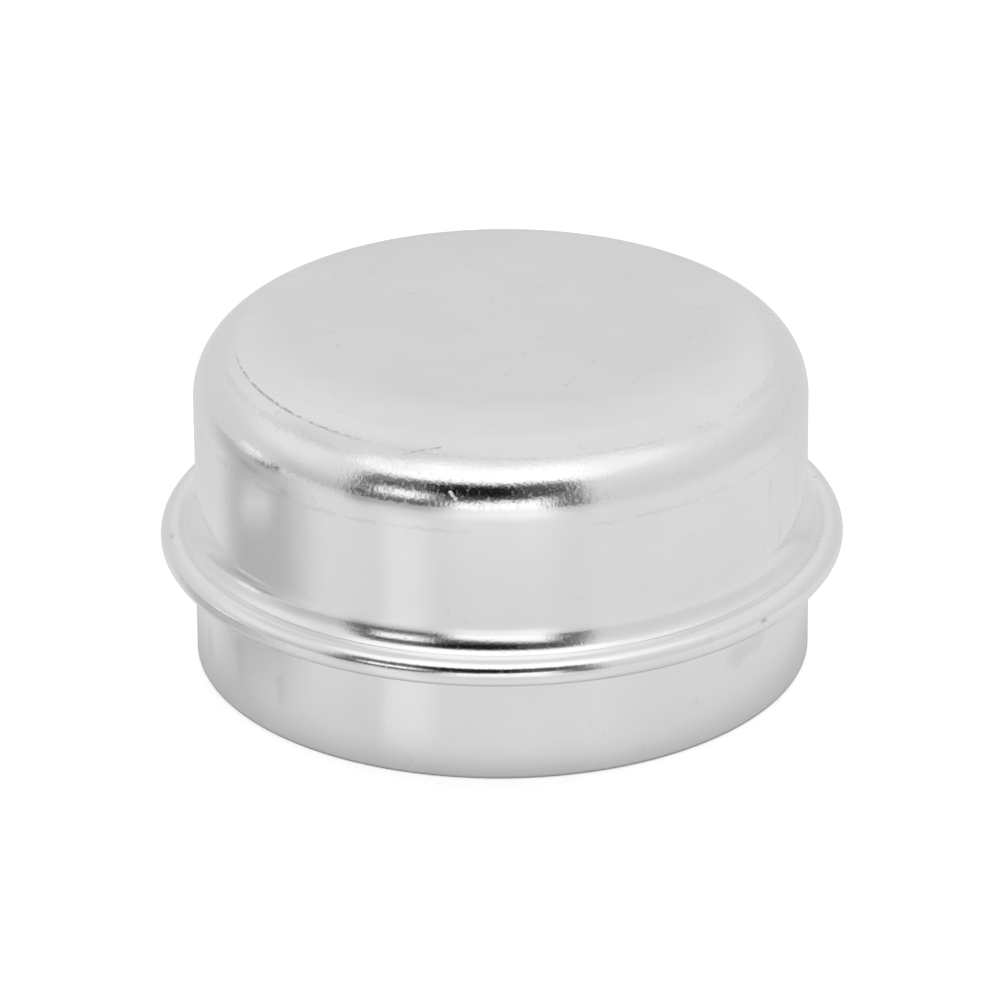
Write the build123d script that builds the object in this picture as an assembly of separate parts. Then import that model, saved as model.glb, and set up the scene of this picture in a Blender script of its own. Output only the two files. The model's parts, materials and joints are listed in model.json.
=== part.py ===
from build123d import *
import math
import os

# Hub grease cap: a cup drawn from one blank of sheet steel, with a stop bead rolled into its wall.
# It stands on its open rim, +Z up, with the origin at the centre of the rim's plane.

# Driving dimensions, in millimetres and degrees
sheet = 0.9                # thickness of the drawn steel
cap_height = 28.0          # open rim to the middle of the closed end
crown_radius = 1400.0      # slight dome of the closed end
shoulder_radius = 5.4      # outside of the bend between closed end and wall
wall_inset = 0.15          # how far the wall above the bead lies inside the skirt's line
flare_radius = 3.9         # gentle hollow in which the wall starts to widen above the bead
flare_angle = 24.5         # slope that the wall has reached where the hollow tightens
neck_radius = 2.25         # tighter hollow below the flare
neck_angle = 45.0          # slope that the wall has reached at the groove
groove_radius = 0.06       # outside of the sharp groove between wall and bead
flank_slope = 28.0         # rise of the bead's flank from the groove to its crest
crest_bend = 0.07          # inside of the tight bend along the top of the rolled bead
crest_angle = 59.0         # slope of the outward normal where the crest opens into the bead's edge
edge_bend = 0.52           # inside of the wider bend round the edge
lower_bend = 0.13          # inside of the bend between the edge and the bead's underside
bead_reach = 2.8           # how far the stop bead stands out from the skirt
seat_height = 9.27         # open rim to the bead's underside, which stops against the hub's end
root_radius = 0.4          # outside of the bend between bead and skirt
skirt_diameter = 50.4      # outside of the skirt, a press fit in the hub's bore
rim_round = 0.2            # rolled edges of the trimmed rim

# Places that follow from those sizes
quarter_turn = 90.0
skirt_radius = skirt_diameter / 2
wall_radius = skirt_radius - wall_inset
bead_radius = skirt_radius + bead_reach
crown_angle = math.degrees(math.asin((wall_radius - shoulder_radius) / (crown_radius - shoulder_radius)))

# The bead is a roll of three bends, crest, edge and underside, which pass into each other smoothly
crest_radius = sheet + crest_bend
edge_radius = sheet + edge_bend
lower_radius = sheet + lower_bend
edge_centre = Vector(bead_radius - edge_radius, seat_height + lower_radius)
crest_normal = Vector(1, 0).rotate(Axis.Z, crest_angle)
crest_centre = edge_centre + (edge_radius - crest_radius) * crest_normal
flank_normal = Vector(0, 1).rotate(Axis.Z, flank_slope)
flank_top = crest_centre + crest_radius * flank_normal

# Flare and neck widen the wall up to the groove, which touches both the neck and the flank
flare_normal = Vector(1, 0).rotate(Axis.Z, flare_angle)
neck_normal = Vector(1, 0).rotate(Axis.Z, neck_angle)
flare_width = flare_radius * (1 - flare_normal.X)
neck_width = neck_radius * (flare_normal.X - neck_normal.X)
groove_x = wall_radius + flare_width + neck_width + groove_radius * neck_normal.X
groove_drop = (groove_x - flank_top.X) * flank_normal.X
groove_height = flank_top.Y + (groove_radius - groove_drop) / flank_normal.Y

# The flare begins as far above the groove as the two hollows are tall
flare_rise = (flare_radius - neck_radius) * flare_normal.Y
neck_rise = (neck_radius - groove_radius) * neck_normal.Y
flare_height = groove_height + flare_rise + neck_rise


def contour(depth):
    """The line at a depth below the sheet's outer face, from the axis over the bead to the rim's plane.

    Bends that bulge outwards lose the depth from their radius and hollow ones gain it, so that every line
    runs at the same distance from the outer face.
    """
    shoulder_turn = quarter_turn - crown_angle
    neck_turn = neck_angle - flare_angle
    groove_turn = quarter_turn + flank_slope - neck_angle
    crest_turn = quarter_turn + flank_slope - crest_angle
    crest_start = flank_top - depth * flank_normal
    root_start = Vector(skirt_radius + root_radius, seat_height + depth)

    crown = JernArc((0, cap_height - depth), (1, 0), crown_radius - depth, -crown_angle)
    shoulder = JernArc(crown @ 1, crown % 1, shoulder_radius - depth, -shoulder_turn)
    wall = Line(shoulder @ 1, (wall_radius - depth, flare_height))
    flare = JernArc(wall @ 1, (0, -1), flare_radius + depth, flare_angle)
    neck = JernArc(flare @ 1, flare % 1, neck_radius + depth, neck_turn)
    groove = JernArc(neck @ 1, neck % 1, groove_radius + depth, groove_turn)
    flank = Line(groove @ 1, crest_start)
    crest = JernArc(crest_start, flank % 1, crest_radius - depth, -crest_turn)
    edge = JernArc(crest @ 1, crest % 1, edge_radius - depth, -crest_angle)
    underside = JernArc(edge @ 1, edge % 1, lower_radius - depth, -quarter_turn)
    lower_ply = Line(underside @ 1, root_start)
    root = JernArc(root_start, (-1, 0), root_radius + depth, quarter_turn)
    skirt = Line(root @ 1, (skirt_radius - depth, 0))
    upper = [crown, shoulder, wall, flare, neck, groove, flank]
    lower = [crest, edge, underside, lower_ply, root, skirt]
    return Curve() + upper + lower


def grease_cap():
    """The sheet's section, between its outer and inner lines, turned about Z."""
    outside = contour(0)
    inside = contour(sheet)
    apex = Line((0, cap_height), (0, cap_height - sheet))
    rim = Line((skirt_radius, 0), (skirt_radius - sheet, 0))
    section = make_face(outside + inside + apex + rim)
    section = fillet(section.vertices().group_by(Axis.Y)[0], rim_round)
    return revolve(Plane.XZ * section, Axis.Z)


cap = grease_cap()
cap.label = "grease_cap"

os.makedirs("parts", exist_ok=True)
export_step(cap, "parts/grease_cap.step")
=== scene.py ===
import json
import math

import bpy
import numpy as np
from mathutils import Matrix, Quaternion, Vector


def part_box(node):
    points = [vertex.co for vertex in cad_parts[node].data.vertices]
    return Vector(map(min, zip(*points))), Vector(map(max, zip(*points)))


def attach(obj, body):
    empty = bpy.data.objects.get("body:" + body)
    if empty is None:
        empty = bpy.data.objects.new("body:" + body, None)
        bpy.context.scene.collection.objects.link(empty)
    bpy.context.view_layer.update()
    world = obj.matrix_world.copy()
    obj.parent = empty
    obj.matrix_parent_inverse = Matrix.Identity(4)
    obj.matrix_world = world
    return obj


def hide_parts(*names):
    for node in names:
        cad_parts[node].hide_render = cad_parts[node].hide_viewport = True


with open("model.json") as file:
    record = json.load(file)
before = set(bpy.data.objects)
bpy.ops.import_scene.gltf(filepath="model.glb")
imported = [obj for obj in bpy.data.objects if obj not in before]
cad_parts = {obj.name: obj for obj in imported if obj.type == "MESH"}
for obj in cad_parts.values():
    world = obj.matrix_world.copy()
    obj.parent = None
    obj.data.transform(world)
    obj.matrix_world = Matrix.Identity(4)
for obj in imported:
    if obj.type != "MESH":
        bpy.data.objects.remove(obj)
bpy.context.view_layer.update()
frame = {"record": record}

scene = bpy.context.scene
scene.view_settings.view_transform = "Standard"

# The cap's shell
# One cup of sheet steel, drawn over a punch. The stop bead is the wall itself, rolled out and flattened, and
# the skirt below it is the part that a mallet drives into the hub. The rim is trimmed last.
shell_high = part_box("grease_cap")[1]
mounts = {mount["name"]: mount for mount in frame["record"]["mounts"]}
mm = 0.001
quarter = math.pi / 2
cap_height = shell_high[2]
bead_radius = shell_high[0]
skirt_radius = mounts["press_skirt"]["dims"]["r_mm"] * mm
seat_height = mounts["stop_seat"]["pos_m"][2]
wall_inset = 0.15 * mm
wall_radius = skirt_radius - wall_inset
sheet = 0.9 * mm
crown_radius = 1400 * mm
shoulder_radius = 5.4 * mm
flare_radius = 3.9 * mm
flare_angle = math.radians(24.5)
neck_radius = 2.25 * mm
neck_angle = math.radians(45)
groove_radius = 0.06 * mm
flank_slope = math.radians(28)
crest_bend = 0.07 * mm
crest_radius = sheet + crest_bend
crest_angle = math.radians(59)
edge_bend = 0.52 * mm
edge_radius = sheet + edge_bend
lower_bend = 0.13 * mm
lower_radius = sheet + lower_bend
root_radius = 0.4 * mm
rim_round = 0.2 * mm
outer_steps = 20
inner_steps = 9
edge_steps = 5
segments = 320
wave_height = 0.006 * mm
wave_counts = (7, 13, 23)
wave_slants = (300, -520, 760)
wave_starts = (0, 1.3, 2.1)
wave_shares = (0.5, 0.3, 0.2)


def arc(centre, radius, start, end, steps):
    """Points on a circle: its centre plus the radius along each of the angles between start and end."""
    angle = np.linspace(start, end, steps + 1)
    return np.stack([centre[0] + radius * np.cos(angle), centre[1] + radius * np.sin(angle)], axis=1)


def straight(start, end, steps):
    """Evenly spaced points from start to end."""
    share = np.linspace(0, 1, steps + 1)[:, None]
    return (1 - share) * np.asarray(start) + share * np.asarray(end)


def off(point, distance, angle):
    """The place at a distance from a point, along an angle."""
    return (point[0] + distance * math.cos(angle), point[1] + distance * math.sin(angle))


def contour(depth, steps):
    """The section's line at a depth below the outer face, from the axis to just above the rim.

    Bends that bulge outwards lose the depth from their radius and hollow ones gain it. Steps is the number of
    steps that a gentle bend gets.
    """
    flank_normal = quarter + flank_slope
    crown_angle = math.asin((wall_radius - shoulder_radius) / (crown_radius - shoulder_radius))
    crown_centre = (0, cap_height - crown_radius)
    shoulder_centre = off(crown_centre, crown_radius - shoulder_radius, quarter - crown_angle)
    edge_centre = (bead_radius - edge_radius, seat_height + lower_radius)
    crest_centre = off(edge_centre, edge_radius - crest_radius, crest_angle)
    lower_centre = (bead_radius - lower_radius, edge_centre[1])
    flank_top = off(crest_centre, crest_radius, flank_normal)
    flare_width = flare_radius * (1 - math.cos(flare_angle))
    neck_width = neck_radius * (math.cos(flare_angle) - math.cos(neck_angle))
    groove_x = wall_radius + flare_width + neck_width + groove_radius * math.cos(neck_angle)
    groove_drop = (groove_x - flank_top[0]) * math.cos(flank_normal)
    groove_centre = (groove_x, flank_top[1] + (groove_radius - groove_drop) / math.sin(flank_normal))
    neck_centre = off(groove_centre, neck_radius - groove_radius, neck_angle)
    flare_centre = off(neck_centre, flare_radius - neck_radius, flare_angle)
    root_centre = (skirt_radius + root_radius, seat_height - root_radius)

    crown = arc(crown_centre, crown_radius - depth, quarter, quarter - crown_angle, steps)
    shoulder = arc(shoulder_centre, shoulder_radius - depth, quarter - crown_angle, 0, 2 * steps)
    flare = arc(flare_centre, flare_radius + depth, math.pi, math.pi + flare_angle, steps)
    neck = arc(neck_centre, neck_radius + depth, math.pi + flare_angle, math.pi + neck_angle, steps // 2)
    groove = arc(groove_centre, groove_radius + depth, math.pi + neck_angle, math.pi + flank_normal,
                 steps // 2)
    crest = arc(crest_centre, crest_radius - depth, flank_normal, crest_angle, steps)
    edge = arc(edge_centre, edge_radius - depth, crest_angle, 0, steps)
    underside = arc(lower_centre, lower_radius - depth, 0, -quarter, steps // 2)
    root = arc(root_centre, root_radius + depth, quarter, math.pi, steps // 2)
    wall = straight(shoulder[-1], flare[0], steps // 2)
    flank = straight(groove[-1], crest[0], steps // 3)
    lower_ply = straight(underside[-1], root[0], steps // 4)
    skirt = straight(root[-1], (skirt_radius - depth, rim_round), steps // 2)
    runs = [crown, shoulder, wall, flare, neck, groove, flank, crest, edge, underside, lower_ply, root, skirt]
    return np.concatenate([run[:-1] for run in runs] + [skirt[-1:]])


def press_waves(angle, height):
    """How far the drawn sheet stands off its true round: three slow waves that run round and up the wall.

    Each is its share of a sine: that of its count times the angle, plus its slant times the height, plus its
    start.
    """
    total = 0
    for count, slant, start, share in zip(wave_counts, wave_slants, wave_starts, wave_shares):
        total = total + share * np.sin(count * angle + slant * height + start)
    return wave_height * total


def turned_shell(profile):
    """Each point of the profile goes once round the axis, with the press waves added to its radius.

    A point on the axis is one vertex, with a fan round it.
    """
    angle = np.linspace(0, 2 * math.pi, segments, endpoint=False)
    ring = profile[1:-1]
    radius = ring[:, :1] + press_waves(angle[None, :], ring[:, 1:]) * ring[:, :1] / bead_radius
    x = radius * np.sin(angle)
    y = -radius * np.cos(angle)
    z = np.repeat(ring[:, 1:], segments, axis=1)
    rings = np.stack([x, y, z], axis=2).reshape(-1, 3)
    poles = np.array([[0, 0, profile[0, 1]], [0, 0, profile[-1, 1]]])
    row = np.arange(len(ring))[:, None] * segments
    here = np.arange(segments)
    following = (here + 1) % segments
    first, second = row[:-1], row[1:]
    corners = [first + here, second + here, second + following, first + following]
    quads = np.stack(corners, axis=2).reshape(-1, 4)
    top_pole = len(rings)
    end_pole = top_pole + 1
    top_fan = np.stack([np.full(segments, top_pole), row[0] + here, row[0] + following], axis=1)
    end_fan = np.stack([np.full(segments, end_pole), row[-1] + following, row[-1] + here], axis=1)
    vertices = np.concatenate([rings, poles])
    return vertices, quads, np.concatenate([top_fan, end_fan])


outside = contour(0, outer_steps)
inside = contour(sheet, inner_steps)
outer_edge = arc((skirt_radius - rim_round, rim_round), rim_round, 0, -quarter, edge_steps)
inner_edge = arc((skirt_radius - sheet + rim_round, rim_round), rim_round, -quarter, -math.pi, edge_steps)
rim = np.concatenate([outer_edge[1:], inner_edge[:-1]])
profile = np.concatenate([outside, rim, inside[::-1]])
vertices, quads, fans = turned_shell(profile)

shell_mesh = bpy.data.meshes.new("cap_shell")
shell_mesh.from_pydata(vertices.tolist(), [], quads.tolist() + fans.tolist())
shell_mesh.polygons.foreach_set("use_smooth", np.ones(len(shell_mesh.polygons), dtype=bool))

# The finishes are in the order in which the sections below add their materials. Each band of quads lies
# between two rings, and the profile's two end points are poles, not rings.
outer_finish, rim_finish, inner_finish = range(3)
band = np.repeat(np.arange(len(profile) - 3), segments)
rim_start = len(outside) - 2
rim_end = rim_start + len(rim)
lower_finish = np.where(band <= rim_end, rim_finish, inner_finish)
quad_finish = np.where(band < rim_start, outer_finish, lower_finish)
fan_finish = np.repeat([outer_finish, inner_finish], segments)
finish = np.concatenate([quad_finish, fan_finish]).astype(np.int32)
shell_mesh.polygons.foreach_set("material_index", finish)
shell = bpy.data.objects.new("cap_shell", shell_mesh)
scene.collection.objects.link(shell)
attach(shell, "root")
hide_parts("grease_cap")


# The plate outside
# A thin coat of bright zinc, put on in a bath after pressing, so it follows the sheet's orange peel. The draw
# ring at the shoulder, the press line below it, specks and handling marks show through it. The die rubs the
# wall bright, and the closed end keeps the satin of the rolled sheet.
# Its colour also holds painted light: painted shade along the rim and under the bead, a painted dark
# reflection on the left of the shoulder, painted glints on two scuffs and a painted reflection on the closed
# end.
def feed(tree, socket, value):
    """Links a socket to the one that a value comes from, or sets a plain value on it."""
    if isinstance(value, bpy.types.NodeSocket):
        tree.links.new(value, socket)
    else:
        socket.default_value = value


def calc(tree, operation, *values):
    """One sum: a Math node with its values, linked or plain. Gives back the socket of its result."""
    node = tree.nodes.new("ShaderNodeMath")
    node.operation = operation
    for socket, value in zip(node.inputs, values):
        feed(tree, socket, value)
    return node.outputs[0]


def vector_calc(tree, operation, *values):
    """One sum with places: a Vector Math node. Gives back the socket of its number or of its place."""
    node = tree.nodes.new("ShaderNodeVectorMath")
    node.operation = operation
    free = [socket for socket in node.inputs if socket.enabled]
    for socket, value in zip(free, values):
        feed(tree, socket, value)
    return next(socket for socket in node.outputs if socket.enabled)


def ramp(tree, value, low, high, start=0.0, end=1.0):
    """Goes smoothly from start to end as a value goes from low to high."""
    node = tree.nodes.new("ShaderNodeMapRange")
    node.interpolation_type = "SMOOTHSTEP"
    feed(tree, node.inputs["Value"], value)
    feed(tree, node.inputs["From Min"], low)
    feed(tree, node.inputs["From Max"], high)
    feed(tree, node.inputs["To Min"], start)
    feed(tree, node.inputs["To Max"], end)
    return node.outputs["Result"]


def noise(tree, place, grain, detail=2.0):
    """Smooth noise about 0.5, with lumps of the size of the grain."""
    node = tree.nodes.new("ShaderNodeTexNoise")
    feed(tree, node.inputs["Vector"], place)
    feed(tree, node.inputs["Scale"], 1 / grain)
    feed(tree, node.inputs["Detail"], detail)
    return node.outputs["Fac"]


def open_group(name, places=(), numbers=()):
    """An empty node group with one output, Mask: the group, the sockets of its inputs and the one to fill."""
    group = bpy.data.node_groups.new(name, "ShaderNodeTree")
    for label in places:
        group.interface.new_socket(label, in_out="INPUT", socket_type="NodeSocketVector")
    for label in numbers:
        group.interface.new_socket(label, in_out="INPUT", socket_type="NodeSocketFloat")
    group.interface.new_socket("Mask", in_out="OUTPUT", socket_type="NodeSocketFloat")
    return group, group.nodes.new("NodeGroupInput").outputs, group.nodes.new("NodeGroupOutput").inputs["Mask"]


def use_group(tree, group, **values):
    """Puts a group into a tree with its inputs linked or set. Gives back the socket of its mask."""
    node = tree.nodes.new("ShaderNodeGroup")
    node.node_tree = group
    for name, value in values.items():
        feed(tree, node.inputs[name], value)
    return node.outputs["Mask"]


def specks_group():
    """Specks in patches: one point in each cell of a random grid, kept in a share of the cells.

    Each speck has a random part of the full size and strength, and a shake pulls its edge about.
    """
    pull_share = 3.5
    least_size = 0.35
    core_share = 0.3
    least_strength = 0.3
    numbers = ["Patches", "Spacing", "Size", "Share"]
    group, start, end = open_group("specks", places=["Place", "Shake"], numbers=numbers)
    pull = vector_calc(group, "SCALE", start["Shake"], calc(group, "MULTIPLY", start["Size"], pull_share))
    cells = group.nodes.new("ShaderNodeTexVoronoi")
    feed(group, cells.inputs["Vector"], vector_calc(group, "ADD", start["Place"], pull))
    feed(group, cells.inputs["Scale"], calc(group, "DIVIDE", 1.0, start["Spacing"]))
    chance = group.nodes.new("ShaderNodeSeparateColor")
    feed(group, chance.inputs["Color"], cells.outputs["Color"])
    chosen = calc(group, "MULTIPLY", start["Share"], start["Patches"])
    kept = calc(group, "LESS_THAN", chance.outputs["Red"], chosen)
    reach = calc(group, "MULTIPLY", start["Size"], calc(group, "ADD", least_size, chance.outputs["Green"]))
    distance = calc(group, "MULTIPLY", cells.outputs["Distance"], start["Spacing"])
    core = calc(group, "MULTIPLY", reach, core_share)
    speck = ramp(group, distance, core, reach, start=1.0, end=0.0)
    vivid = calc(group, "MULTIPLY_ADD", chance.outputs["Blue"], 1.0 - least_strength, least_strength)
    strength = calc(group, "MULTIPLY", kept, vivid)
    feed(group, end, calc(group, "MULTIPLY", speck, strength))
    return group


def broken_line_group():
    """A thin line that comes and goes: full within its width, and cut where the cover is under a level."""
    swing_share = 2.5
    core_share = 0.25
    gap_fade = 0.16
    numbers = ["Distance", "Sway", "Cover", "Width", "Gaps"]
    group, start, end = open_group("broken_line", numbers=numbers)
    swing = calc(group, "MULTIPLY", start["Width"], swing_share)
    swayed = calc(group, "MULTIPLY_ADD", start["Sway"], swing, start["Distance"])
    core = calc(group, "MULTIPLY", start["Width"], core_share)
    line = ramp(group, calc(group, "ABSOLUTE", swayed), core, start["Width"], start=1.0, end=0.0)
    cover = ramp(group, start["Cover"], start["Gaps"], calc(group, "ADD", start["Gaps"], gap_fade))
    feed(group, end, calc(group, "MULTIPLY", line, cover))
    return group


def mark_group():
    """A mark along a straight stretch: full on the stretch, gone at its width, with an uneven edge."""
    swing_share = 2.2
    core_share = 0.2
    group, start, end = open_group("mark", places=["Place", "Start", "End"], numbers=["Width", "Sway"])
    stretch = vector_calc(group, "SUBTRACT", start["End"], start["Start"])
    offset = vector_calc(group, "SUBTRACT", start["Place"], start["Start"])
    along = calc(group, "DIVIDE", vector_calc(group, "DOT_PRODUCT", offset, stretch),
                 vector_calc(group, "DOT_PRODUCT", stretch, stretch))
    held = calc(group, "MINIMUM", calc(group, "MAXIMUM", along, 0.0), 1.0)
    distance = vector_calc(group, "DISTANCE", offset, vector_calc(group, "SCALE", stretch, held))
    swing = calc(group, "MULTIPLY", start["Width"], swing_share)
    swayed = calc(group, "MULTIPLY_ADD", start["Sway"], swing, distance)
    core = calc(group, "MULTIPLY", start["Width"], core_share)
    feed(group, end, ramp(group, swayed, core, start["Width"], start=1.0, end=0.0))
    return group


specks = specks_group()
broken_line = broken_line_group()
mark = mark_group()


def strongest_mark(tree, place, listed, edge_sway):
    """The largest, at each place, of the listed marks' masks times their strengths."""
    strongest = 0.0
    for start, end, width, strength in listed.values():
        mask = use_group(tree, mark, Place=place, Start=Vector(start) * mm, End=Vector(end) * mm,
                         Width=width * mm, Sway=edge_sway)
        strongest = calc(tree, "MAXIMUM", strongest, calc(tree, "MULTIPLY", mask, strength))
    return strongest


plate = bpy.data.materials.new("bright_plate")
plate.use_nodes = True
tree = plate.node_tree
plate_shader = tree.nodes["Principled BSDF"]
plate_shader.inputs["Metallic"].default_value = 1
place = tree.nodes.new("ShaderNodeTexCoord").outputs["Object"]
spot = tree.nodes.new("ShaderNodeSeparateXYZ")
feed(tree, spot.inputs[0], place)
x, y, z = spot.outputs

# Noise gives lines and marks an uneven edge, wears them thin in places and breaks them up.
noise_middle = 0.5
uneven = noise(tree, place, grain=0.45 * mm, detail=2.0)
sway = calc(tree, "SUBTRACT", uneven, noise_middle)
worn = ramp(tree, uneven, low=0.38, high=0.56, start=0.2, end=1.0)
cover = noise(tree, place, grain=2.4 * mm, detail=3.0)
slow_sway = calc(tree, "SUBTRACT", cover, noise_middle)

# The draw ring is strongest on the left, and a fainter second one runs outside it.
ring_centre = (0.51 * mm, -0.61 * mm, 0)
ring_radius = 22.05 * mm
ring_floor = 24 * mm
level = (1, 1, 0)
flat_place = vector_calc(tree, "MULTIPLY", place, level)
ring_distance = calc(tree, "SUBTRACT", vector_calc(tree, "DISTANCE", flat_place, ring_centre), ring_radius)
draw_ring = use_group(tree, broken_line, Distance=ring_distance, Sway=sway, Cover=cover, Width=0.14 * mm,
                      Gaps=0.32)
above_wall = calc(tree, "GREATER_THAN", z, ring_floor)
ring_left = ramp(tree, x, low=-16 * mm, high=-9 * mm, start=0.58, end=0.12)
ring_front = ramp(tree, y, low=-7 * mm, high=-2 * mm, start=1.0, end=0.0)
ring_run = calc(tree, "MULTIPLY", ring_front, above_wall)
ring_strength = calc(tree, "MULTIPLY", calc(tree, "MULTIPLY", ring_left, worn), ring_run)
draw_ring = calc(tree, "MULTIPLY", draw_ring, ring_strength)
second_gap = ramp(tree, x, low=-8 * mm, high=8 * mm, start=1.1 * mm, end=0.3 * mm)
second_distance = calc(tree, "SUBTRACT", ring_distance, second_gap)
second_ring = use_group(tree, broken_line, Distance=second_distance, Sway=sway, Cover=cover, Width=0.3 * mm,
                        Gaps=0.34)
second_left = ramp(tree, x, low=-10 * mm, high=2 * mm, start=0.10, end=0.0)
second_right = ramp(tree, x, low=6 * mm, high=12 * mm, start=0.0, end=0.07)
second_sides = calc(tree, "ADD", second_left, second_right)
second_strength = calc(tree, "MULTIPLY", second_sides, ring_run)
second_ring = calc(tree, "MULTIPLY", second_ring, second_strength)
ringed = calc(tree, "ADD", draw_ring, second_ring)

press_line_height = 21.78 * mm
press_line_tilt = -0.01
above_line = calc(tree, "SUBTRACT", z, press_line_height)
press_line_distance = calc(tree, "MULTIPLY_ADD", x, press_line_tilt, above_line)
press_line = use_group(tree, broken_line, Distance=press_line_distance, Sway=sway, Cover=cover,
                       Width=0.25 * mm, Gaps=0.40)
press_line_strength = ramp(tree, x, low=8 * mm, high=18 * mm, start=0.11, end=0.06)
press_line = calc(tree, "MULTIPLY", press_line, press_line_strength)

tremble_grain = 0.35 * mm
speck_strength = 0.16
tremble = tree.nodes.new("ShaderNodeTexNoise")
feed(tree, tremble.inputs["Vector"], place)
feed(tree, tremble.inputs["Scale"], 1 / tremble_grain)
feed(tree, tremble.inputs["Detail"], 0.0)
shake = vector_calc(tree, "SUBTRACT", tremble.outputs["Color"], (noise_middle, noise_middle, noise_middle))
clouds = noise(tree, place, grain=8 * mm)
patches = ramp(tree, clouds, low=0.40, high=0.60)
plate_specks = use_group(tree, specks, Place=place, Shake=shake, Patches=patches, Spacing=1.5 * mm,
                         Size=0.32 * mm, Share=0.60)
specked = calc(tree, "MULTIPLY", plate_specks, speck_strength)

# Marks are worn and have a ragged edge, smudges are soft. Among the marks is a painted dark reflection on the
# left of the shoulder. Each has its start and its end on the surface and its width, all in millimetres, and
# its strength.
marks_and_reflection = {
    "scratch on the shoulder": ((-7.52, -21.41, 26.92), (-4.77, -21.34, 27.39), 0.16, 0.60),
    "spot on the left of the bead": ((-26.90, -3.80, 11.47), (-26.82, -4.50, 11.47), 0.30, 0.50),
    "spot on the right of the bead": ((20.95, -18.37, 10.62), (20.67, -18.69, 10.62), 0.30, 0.65),
    "rub on the right of the wall": ((21.50, -12.86, 18.20), (21.50, -12.86, 20.60), 0.45, 0.10),
    "rub near the right edge": ((23.85, -7.66, 15.00), (23.75, -7.97, 18.80), 0.40, 0.12),
    # The spot on the left of the shoulder is a painted dark reflection.
    "painted dark reflection on the left of the shoulder": ((-18.10, -17.05, 23.85), (-17.70, -17.47, 23.85), 0.42, 0.80),
    "spot on the left of the wall": ((-17.25, -18.17, 22.10), (-17.00, -18.40, 21.80), 0.45, 0.35),
}
smudges = {
    "smudge on the right of the skirt": ((20.40, -14.79, 6.90), (19.00, -16.55, 6.80), 1.50, 0.12),
    "smudge on the right of the wall": ((22.40, -11.21, 14.60), (22.40, -11.21, 15.50), 0.80, 0.08),
    "first smudge on the left of the skirt": ((-23.81, -8.24, 3.20), (-23.81, -8.24, 5.00), 0.90, 0.12),
    "second smudge on the left of the skirt": ((-21.19, -13.64, 3.60), (-21.19, -13.64, 6.20), 0.90, 0.10),
    "third smudge on the left of the skirt": ((-17.87, -17.76, 3.40), (-17.87, -17.76, 5.20), 0.80, 0.10),
}
marked_and_reflected = calc(tree, "MULTIPLY", strongest_mark(tree, place, marks_and_reflection, sway), worn)
smudged = strongest_mark(tree, place, smudges, slow_sway)

# Painted shade darkens the lowest edge, as a painted contact shadow, and the corner under the bead.
painted_rim_shade = ramp(tree, z, low=0.15 * mm, high=0.40 * mm, start=0.30, end=0.0)
from_seat = calc(tree, "ABSOLUTE", calc(tree, "SUBTRACT", z, seat_height))
painted_seat_shade = ramp(tree, from_seat, low=0.1 * mm, high=0.5 * mm, start=0.13, end=0.0)
# The darkest, at each place, of the lines, the marks, the rings, the specks and the painted shade.
marks_and_painted_shade = press_line
for shade in (marked_and_reflected, smudged, ringed, specked, painted_rim_shade, painted_seat_shade):
    marks_and_painted_shade = calc(tree, "MAXIMUM", marks_and_painted_shade, shade)

plate_tone = 0.83
cloud_tone = 0.08
streak_tone = 0.02
streak_stretch = (0.25, 1, 1)
streaks = noise(tree, vector_calc(tree, "MULTIPLY", place, streak_stretch), grain=1.6 * mm, detail=1.0)
cloudy_tone = calc(tree, "MULTIPLY_ADD", clouds, cloud_tone, plate_tone)
streaky_tone = calc(tree, "MULTIPLY_ADD", streaks, streak_tone, cloudy_tone)
# The closed end is painted darker at its middle and back and lighter towards its front and side edges, as a
# painted reflection.
top_reflection_centre = (0, 5 * mm, cap_height)
top_reflection_distance = vector_calc(tree, "DISTANCE", place, top_reflection_centre)
painted_top_reflection = ramp(tree, top_reflection_distance, low=17 * mm, high=23 * mm, start=-0.042, end=0.016)
on_top = ramp(tree, z, low=cap_height - 0.7 * mm, high=cap_height - 0.2 * mm)
clean_tone = calc(tree, "MULTIPLY_ADD", painted_top_reflection, on_top, streaky_tone)
polish_roughness = 0.08
cloud_roughness = 0.06
polished = calc(tree, "MULTIPLY_ADD", clouds, cloud_roughness, polish_roughness)
satin = ramp(tree, z, low=cap_height - 0.60 * mm, high=cap_height - 0.13 * mm, start=0.0, end=0.38)
clean_roughness = calc(tree, "ADD", polished, satin)

# A scuff is a small rough spot, which stays pale where the polish round it mirrors the dark. Its colour is
# also painted paler, as a painted glint. It is listed as the marks are.
glinting_scuffs = {
    "scuff on the shoulder": ((-4.00, -24.18, 24.82), (-3.60, -24.45, 24.33), 0.20, 1.00),
    "scuff on the right of the bead": ((25.70, -5.95, 11.45), (26.00, -5.55, 11.50), 0.32, 1.00),
}
painted_glint_tone = 0.12
scuff_roughness = 0.6
dark_depth = 0.7
dark_roughness = 0.3
scuff_and_glint = strongest_mark(tree, place, glinting_scuffs, sway)
# The painted glint lifts the colour on the scuffs.
pale_tone = calc(tree, "MULTIPLY_ADD", scuff_and_glint, painted_glint_tone, clean_tone)
bright_share = calc(tree, "MULTIPLY_ADD", marks_and_painted_shade, -dark_depth, 1.0)
feed(tree, plate_shader.inputs["Base Color"], calc(tree, "MULTIPLY", pale_tone, bright_share))
marked_roughness = calc(tree, "MULTIPLY_ADD", marks_and_painted_shade, dark_roughness, clean_roughness)
marked_roughness = calc(tree, "MULTIPLY_ADD", scuff_and_glint, scuff_roughness, marked_roughness)

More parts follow.
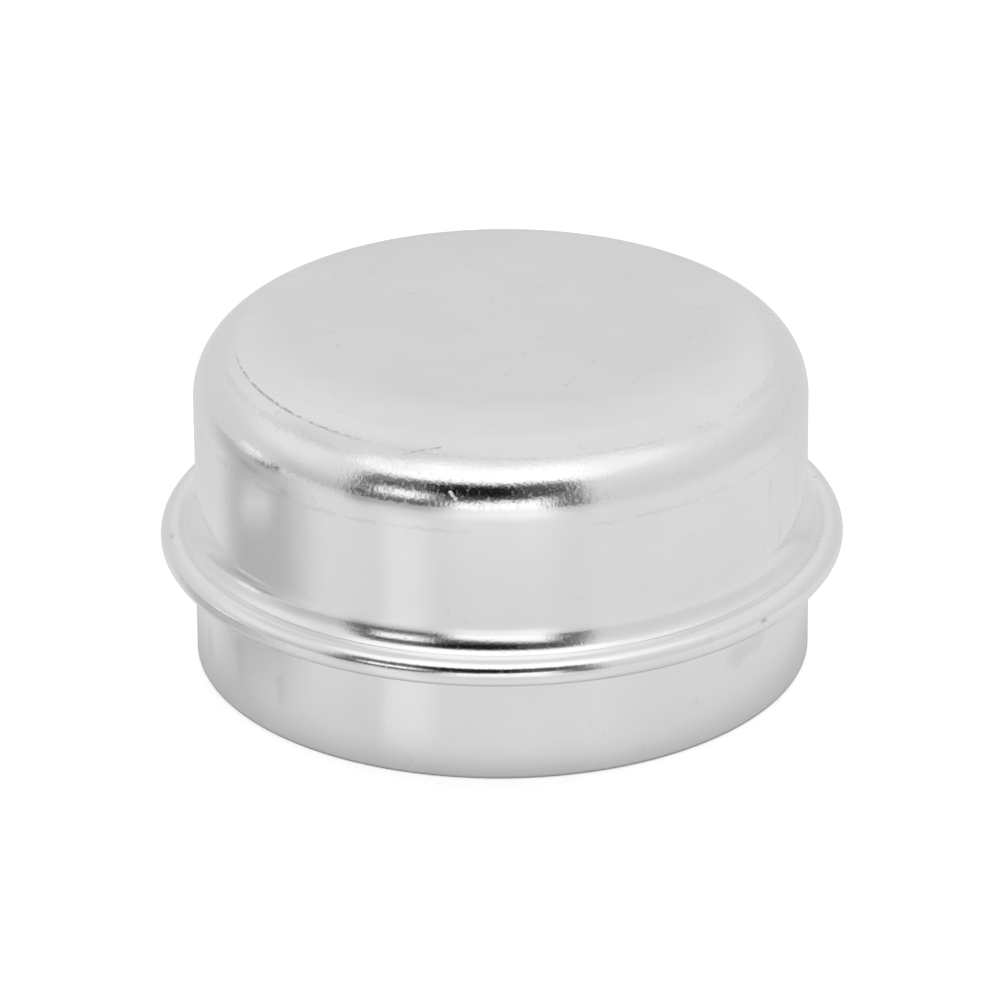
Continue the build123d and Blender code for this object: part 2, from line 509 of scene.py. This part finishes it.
# Orange peel is strongest where the sheet was stretched, on the shoulder and in the neck above the bead. Its
# highest grains are rubbed rough.
peel_grain = 0.24 * mm
peel_height = 0.009 * mm
peel_stretch = (1, 1, 0.8)
least_peel = 0.1
peel_grains = noise(tree, vector_calc(tree, "MULTIPLY", place, peel_stretch), peel_grain, detail=1.0)
shoulder_start = ramp(tree, z, low=22 * mm, high=24 * mm)
shoulder_end = ramp(tree, z, low=27.2 * mm, high=27.8 * mm, start=1.0, end=0.0)
shoulder_peel = calc(tree, "MULTIPLY", shoulder_start, shoulder_end)
neck_start = ramp(tree, z, low=9.2 * mm, high=9.8 * mm)
neck_end = ramp(tree, z, low=12.4 * mm, high=13.6 * mm, start=0.55, end=0.0)
neck_peel = calc(tree, "MULTIPLY", neck_start, neck_end)
peel_strength = calc(tree, "MAXIMUM", calc(tree, "MAXIMUM", shoulder_peel, neck_peel), least_peel)
grains = calc(tree, "MULTIPLY", calc(tree, "SUBTRACT", peel_grains, noise_middle), peel_strength)
peel = tree.nodes.new("ShaderNodeBump")
peel.inputs["Distance"].default_value = peel_height
feed(tree, peel.inputs["Height"], grains)
feed(tree, plate_shader.inputs["Normal"], peel.outputs["Normal"])
rubbed_tops = ramp(tree, peel_grains, low=0.54, high=0.72, start=0.0, end=0.16)
grain_tops = calc(tree, "MULTIPLY", rubbed_tops, peel_strength)
feed(tree, plate_shader.inputs["Roughness"], calc(tree, "ADD", marked_roughness, grain_tops))
shell_mesh.materials.append(plate)

# The sheared rim
# The trimming die leaves the edge of the sheet plain, with fine upright tears. The plating is thin there.
edge_tone = 0.48
tear_tone = 0.20
tear_grain = 0.15 * mm
tear_stretch = (1, 1, 0.1)
edge_finish = bpy.data.materials.new("sheared_edge")
edge_finish.use_nodes = True
tree = edge_finish.node_tree
edge_shader = tree.nodes["Principled BSDF"]
edge_shader.inputs["Metallic"].default_value = 1
edge_shader.inputs["Roughness"].default_value = 0.32
place = tree.nodes.new("ShaderNodeTexCoord").outputs["Object"]
tears = noise(tree, vector_calc(tree, "MULTIPLY", place, tear_stretch), tear_grain)
feed(tree, edge_shader.inputs["Base Color"], calc(tree, "MULTIPLY_ADD", tears, tear_tone, edge_tone))
shell_mesh.materials.append(edge_finish)

# The plate inside
# The bath reaches the hollow less well, so the zinc there is thinner and duller, with a cloudy film of grease
# and small dark specks.
inner_tone = 0.66
film_tone = 0.16
film_grain = 9 * mm
speck_depth = 0.4
inner_roughness = 0.2
film_roughness = 0.2
inner_plate = bpy.data.materials.new("dull_plate")
inner_plate.use_nodes = True
tree = inner_plate.node_tree
inner_shader = tree.nodes["Principled BSDF"]
inner_shader.inputs["Metallic"].default_value = 1
place = tree.nodes.new("ShaderNodeTexCoord").outputs["Object"]
grease_film = noise(tree, place, film_grain, detail=4.0)
inner_specks = use_group(tree, specks, Place=place, Patches=grease_film, Spacing=1.6 * mm, Size=0.2 * mm,
                         Share=0.9)
filmed_tone = calc(tree, "MULTIPLY_ADD", grease_film, film_tone, inner_tone)
speckless = calc(tree, "MULTIPLY_ADD", inner_specks, -speck_depth, 1.0)
filmed_roughness = calc(tree, "MULTIPLY_ADD", grease_film, film_roughness, inner_roughness)
feed(tree, inner_shader.inputs["Base Color"], calc(tree, "MULTIPLY", filmed_tone, speckless))
feed(tree, inner_shader.inputs["Roughness"], filmed_roughness)
shell_mesh.materials.append(inner_plate)


# The floor
# A white board that the cap stands on, wide enough to fill every view. The camera sees it as plain white. The
# polished wall sees it as lit, with a bright stretch in front and a dim side and two gleams on the left.
def soft_patch_group():
    """How far a point lies inside a soft-edged patch of two coordinates.

    It is the product of four ramps, one for each edge, which fade between two values.
    """
    edges = ("Left", "Right", "Near", "Far")
    limits = [edge + end for edge in edges for end in (" from", " to")]
    group, start, end = open_group("soft_patch", numbers=["Across", "Along"] + limits)
    mask = 1.0
    for edge, coordinate in zip(edges, ("Across", "Across", "Along", "Along")):
        rises = edge in ("Left", "Near")
        fade = ramp(group, start[coordinate], start[edge + " from"], start[edge + " to"],
                    0.0 if rises else 1.0, 1.0 if rises else 0.0)
        mask = calc(group, "MULTIPLY", mask, fade)
    feed(group, end, mask)
    return group


soft_patch = soft_patch_group()


def lay_patch(tree, across, along, left, right, near, far):
    """Places one soft patch and gives back the socket of its mask.

    Across is an angle, with left and right in degrees. Near and far are in the units of along.
    """
    node = tree.nodes.new("ShaderNodeGroup")
    node.node_tree = soft_patch
    feed(tree, node.inputs["Across"], across)
    feed(tree, node.inputs["Along"], along)
    edges = {"Left": np.radians(left), "Right": np.radians(right), "Near": near, "Far": far}
    for edge, limits in edges.items():
        feed(tree, node.inputs[edge + " from"], float(limits[0]))
        feed(tree, node.inputs[edge + " to"], float(limits[1]))
    return node.outputs["Mask"]


def bearing_from(tree, place, apex):
    """The angle at which a place on the floor lies from an apex, 0 straight ahead and negative to the left.

    It is the arc tangent of the way to the right over the way towards the camera.
    """
    spot = tree.nodes.new("ShaderNodeSeparateXYZ")
    feed(tree, spot.inputs[0], vector_calc(tree, "SUBTRACT", place, apex))
    return calc(tree, "ARCTAN2", spot.outputs["X"], calc(tree, "MULTIPLY", spot.outputs["Y"], -1.0))


floor_half = 1.5
floor_end = (1.4, 1.5)
board_apex = (0, -12.5 * mm, 0)
board_tone = 0.88
dim_depth = 0.32
stretch_light = 0.23
gleam_light = 0.09
far_gleam_light = 0.1
camera_light = 0.5
floor_mesh = bpy.data.meshes.new("board")
floor_mesh.from_pydata([(-floor_half, -floor_half, 0), (floor_half, -floor_half, 0),
                        (floor_half, floor_half, 0), (-floor_half, floor_half, 0)], [], [(0, 1, 2, 3)])
floor = bpy.data.objects.new("board", floor_mesh)
scene.collection.objects.link(floor)
board = bpy.data.materials.new("white_board")
board.use_nodes = True
tree = board.node_tree
board_shader = tree.nodes["Principled BSDF"]
board_shader.inputs["Roughness"].default_value = 0.3
board_shader.inputs["Specular IOR Level"].default_value = 0.35
board_shader.inputs["Emission Strength"].default_value = 1
place = tree.nodes.new("ShaderNodeTexCoord").outputs["Object"]
away = vector_calc(tree, "LENGTH", place)
bearing = bearing_from(tree, place, board_apex)
spot = tree.nodes.new("ShaderNodeSeparateXYZ")
feed(tree, spot.inputs[0], place)
# Painted light for the polished wall: a glow near the cap, strongest in front, and one far off, both weaker
# behind it and faded out beside the skirt, which leaves a painted contact shadow there.
aside = ramp(tree, calc(tree, "ABSOLUTE", bearing), low=math.radians(20), high=math.radians(55),
             start=1.0, end=0.25)
near_light = ramp(tree, away, low=30 * mm, high=54 * mm, start=0.085, end=0.0)
close_by = calc(tree, "MULTIPLY", near_light, aside)
far_off = ramp(tree, away, low=90 * mm, high=300 * mm, start=0.10, end=0.03)
behind = ramp(tree, spot.outputs["Y"], low=5 * mm, high=45 * mm, start=1.0, end=0.3)
beside_skirt = ramp(tree, away, low=skirt_radius - 1 * mm, high=skirt_radius + 5 * mm)
lit = calc(tree, "MULTIPLY", calc(tree, "ADD", close_by, far_off), behind)
lit = calc(tree, "MULTIPLY", lit, beside_skirt)
front_stretch = lay_patch(tree, bearing, away, left=(-30, -12), right=(11, 32),
                          near=(34 * mm, 125 * mm), far=floor_end)
gleam = lay_patch(tree, bearing, away, left=(-46, -40), right=(-33, -20),
                  near=(27 * mm, 33 * mm), far=(68 * mm, 90 * mm))
far_gleam = lay_patch(tree, bearing, away, left=(-109, -104), right=(-98, -93),
                      near=(190 * mm, 260 * mm), far=floor_end)
dim_side = lay_patch(tree, bearing, away, left=(-60, -52), right=(-30, -20),
                     near=(80 * mm, 230 * mm), far=floor_end)
lit = calc(tree, "MULTIPLY_ADD", front_stretch, stretch_light, lit)
lit = calc(tree, "MULTIPLY_ADD", gleam, gleam_light, lit)
lit = calc(tree, "MULTIPLY_ADD", far_gleam, far_gleam_light, lit)
rays = tree.nodes.new("ShaderNodeLightPath")
camera_lift = calc(tree, "MULTIPLY", rays.outputs["Is Camera Ray"], camera_light)
seen_again = calc(tree, "MAXIMUM", rays.outputs["Is Glossy Ray"], rays.outputs["Is Transmission Ray"])
mirror_lift = calc(tree, "MULTIPLY", seen_again, lit)
feed(tree, board_shader.inputs["Base Color"], calc(tree, "MULTIPLY_ADD", dim_side, -dim_depth, board_tone))
feed(tree, board_shader.inputs["Emission Color"], calc(tree, "ADD", camera_lift, mirror_lift))
floor_mesh.materials.append(board)

# The grey card
# A card that lies on the board at the cap's left side, with a painted highlight, a painted dark reflection
# and a darker patch. It shows only in the polished wall.
card_corners = [(-20 * mm, -40 * mm), (-330 * mm, -140 * mm), (-330 * mm, 330 * mm), (-20 * mm, 10 * mm)]
card_lift = 0.05 * mm
card_apex = (-12.4 * mm, -18.6 * mm, card_lift)
card_tone = 0.66
dark_reflection_depth = 0.3
darker_patch_depth = 0.12
painted_highlight_depth = 0.8
card_mesh = bpy.data.meshes.new("grey_card")
card_mesh.from_pydata([(*corner, card_lift) for corner in card_corners], [], [(0, 3, 2, 1)])
card = bpy.data.objects.new("grey_card", card_mesh)
scene.collection.objects.link(card)
card.visible_camera = False
card.visible_diffuse = False
card.visible_shadow = False
card_grey = bpy.data.materials.new("card_grey")
card_grey.use_nodes = True
tree = card_grey.node_tree
card_shader = tree.nodes["Principled BSDF"]
card_shader.inputs["Roughness"].default_value = 1
place = tree.nodes.new("ShaderNodeTexCoord").outputs["Object"]
card_bearing = bearing_from(tree, place, card_apex)
card_away = vector_calc(tree, "DISTANCE", place, card_apex)
whole = lay_patch(tree, card_bearing, card_away, left=(-135, -113), right=(-98, -66),
                  near=(5 * mm, 34 * mm), far=(150 * mm, 260 * mm))
# The painted highlight is where the card thins and the board shows through.
painted_highlight = lay_patch(tree, card_bearing, card_away, left=(-121, -110), right=(-102, -91),
                      near=(42 * mm, 50 * mm), far=(49 * mm, 57 * mm))
# The painted dark reflection is a darker, solid part of the card.
painted_dark_reflection = lay_patch(tree, card_bearing, card_away, left=(-103, -96), right=(-92, -85),
                      near=(105 * mm, 150 * mm), far=(230 * mm, 310 * mm))
darker_patch = lay_patch(tree, card_bearing, card_away, left=(-117, -109), right=(-106, -98),
                  near=(56 * mm, 64 * mm), far=(76 * mm, 100 * mm))
thinned = calc(tree, "MULTIPLY_ADD", painted_highlight, -painted_highlight_depth, 1.0)
card_cover = calc(tree, "MULTIPLY", whole, thinned)
spotted_tone = calc(tree, "MULTIPLY_ADD", painted_dark_reflection, -dark_reflection_depth, card_tone)
feed(tree, card_shader.inputs["Alpha"], calc(tree, "MAXIMUM", card_cover, painted_dark_reflection))
feed(tree, card_shader.inputs["Base Color"], calc(tree, "MULTIPLY_ADD", darker_patch, -darker_patch_depth, spotted_tone))
card_mesh.materials.append(card_grey)

# The light tent
# White cloth all round, open in front, where a dark curtain hangs in folds. A softbox lights the cloth above
# the opening, and a white card stands in it, below a window on its left. Polish mirrors all of it, and matt
# surfaces get its even mean.
card_slant = 0.2
arch = 0.0015
fold_stretch = 3.5
fold_grain = 5.0
world = bpy.data.worlds.new("light_tent")
world.use_nodes = True
scene.world = world
tree = world.node_tree
direction = tree.nodes.new("ShaderNodeSeparateXYZ")
feed(tree, direction.inputs[0], tree.nodes.new("ShaderNodeTexCoord").outputs["Generated"])
forward = calc(tree, "MULTIPLY", direction.outputs["Y"], -1.0)
azimuth = calc(tree, "ARCTAN2", direction.outputs["X"], forward)
across = calc(tree, "DEGREES", azimuth)
elevation = calc(tree, "DEGREES", calc(tree, "ARCSINE", direction.outputs["Z"]))
slanted = calc(tree, "MULTIPLY_ADD", across, -card_slant, elevation)
arched = calc(tree, "MULTIPLY_ADD", calc(tree, "MULTIPLY", across, across), arch, elevation)
folds = tree.nodes.new("ShaderNodeCombineXYZ")
feed(tree, folds.inputs["X"], calc(tree, "MULTIPLY", across, fold_stretch))
feed(tree, folds.inputs["Y"], elevation)
curtain = noise(tree, folds.outputs["Vector"], fold_grain, detail=1.0)


def hang(under, along, brightness, left, right, near, far):
    """Hangs one panel over the brightness that is already there. All its edges are in degrees."""
    blend = tree.nodes.new("ShaderNodeMix")
    feed(tree, blend.inputs["Factor"], lay_patch(tree, azimuth, along, left, right, near, far))
    feed(tree, blend.inputs["A"], under)
    feed(tree, blend.inputs["B"], brightness)
    return blend.outputs["Result"]


cloth = ramp(tree, elevation, low=10.0, high=36.0, start=0.71, end=0.80)
left_cloth = hang(cloth, elevation, brightness=0.755,
                  left=(-150, -125), right=(-85, -60), near=(38, 50), far=(80, 90))
left_seam = hang(left_cloth, elevation, brightness=0.70,
                 left=(-128, -116), right=(-104, -88), near=(40, 45), far=(50, 58))
left_glow = hang(left_seam, elevation, brightness=0.85,
                 left=(-121, -103), right=(-85, -67), near=(13, 31), far=(32, 50))
left_slit = hang(left_glow, elevation, brightness=1.05,
                 left=(-110, -104), right=(-98, -93), near=(-3, -1), far=(0, 4))
left_flap = hang(left_slit, elevation, brightness=0.56,
                 left=(-98, -78), right=(-50, -45), near=(-30, -20), far=(2, 22))
right_glow = hang(left_flap, elevation, brightness=1.0,
                  left=(21, 49), right=(68, 102), near=(31, 49), far=(59, 77))
softbox = hang(right_glow, elevation, brightness=1.18,
               left=(-74, -42), right=(31, 61), near=(34, 49), far=(60, 84))
side_light = hang(softbox, elevation, brightness=1.1,
                  left=(-88, -62), right=(-50, -40), near=(42, 50), far=(55, 66))
room = ramp(tree, curtain, low=0.42, high=0.58, start=0.02, end=0.30)
opening = hang(side_light, arched, brightness=room,
               left=(-62, -50), right=(25, 36), near=(-14, -8), far=(36.5, 46.5))
low_gap = hang(opening, elevation, brightness=0.13,
               left=(-57, -53), right=(-33, -25), near=(-14, -8), far=(1, 8))
deep_room = ramp(tree, curtain, low=0.42, high=0.58, start=0.01, end=0.16)
dark_room = hang(low_gap, arched, brightness=deep_room,
                 left=(-38, -22), right=(18, 26), near=(8, 17), far=(35, 44))
darkest = hang(dark_room, elevation, brightness=0.006,
               left=(-33, -20), right=(3, 10), near=(15, 25), far=(33, 43))
front_card = hang(darkest, slanted, brightness=1.13,
                  left=(-24, -14), right=(12, 24), near=(-30, -20), far=(8, 18.5))
window = hang(front_card, elevation, brightness=1.1,
              left=(-50, -42), right=(-33, -20), near=(5, 14), far=(17, 25))
background = tree.nodes["Background"]
feed(tree, background.inputs["Color"], window)
soft_light = tree.nodes.new("ShaderNodeBackground")
soft_light.inputs["Color"].default_value = (0.77, 0.77, 0.77, 1)
plain = tree.nodes.new("ShaderNodeBackground")
plain.inputs["Color"].default_value = (1, 1, 1, 1)
rays = tree.nodes.new("ShaderNodeLightPath")
seen_again = calc(tree, "MAXIMUM", rays.outputs["Is Glossy Ray"], rays.outputs["Is Transmission Ray"])
polish = tree.nodes.new("ShaderNodeMixShader")
feed(tree, polish.inputs["Fac"], seen_again)
feed(tree, polish.inputs[1], soft_light.outputs[0])
feed(tree, polish.inputs[2], background.outputs[0])
choose = tree.nodes.new("ShaderNodeMixShader")
feed(tree, choose.inputs["Fac"], rays.outputs["Is Camera Ray"])
feed(tree, choose.inputs[1], polish.outputs[0])
feed(tree, choose.inputs[2], plain.outputs[0])
feed(tree, tree.nodes["World Output"].inputs["Surface"], choose.outputs[0])

# The camera
# A long lens, a little above the cap and square in front of it.
camera_distance = 0.5905
camera_elevation = math.radians(25.337)
camera_roll = math.radians(-0.448)
pivot = Vector((0, 0, 14.03 * mm))
aim = Vector((-0.13 * mm, -0.54 * mm, 12.88 * mm))
back = Vector((0, -math.cos(camera_elevation), math.sin(camera_elevation)))
camera_data = bpy.data.cameras.new("camera")
camera_data.sensor_width = 36
camera_data.lens = 259.56
camera = bpy.data.objects.new("camera", camera_data)
camera.location = pivot + camera_distance * back
camera.rotation_mode = "QUATERNION"
turn = (aim - camera.location).to_track_quat("-Z", "Y")
camera.rotation_quaternion = turn @ Quaternion((0, 0, 1), camera_roll)
scene.collection.objects.link(camera)
scene.camera = camera
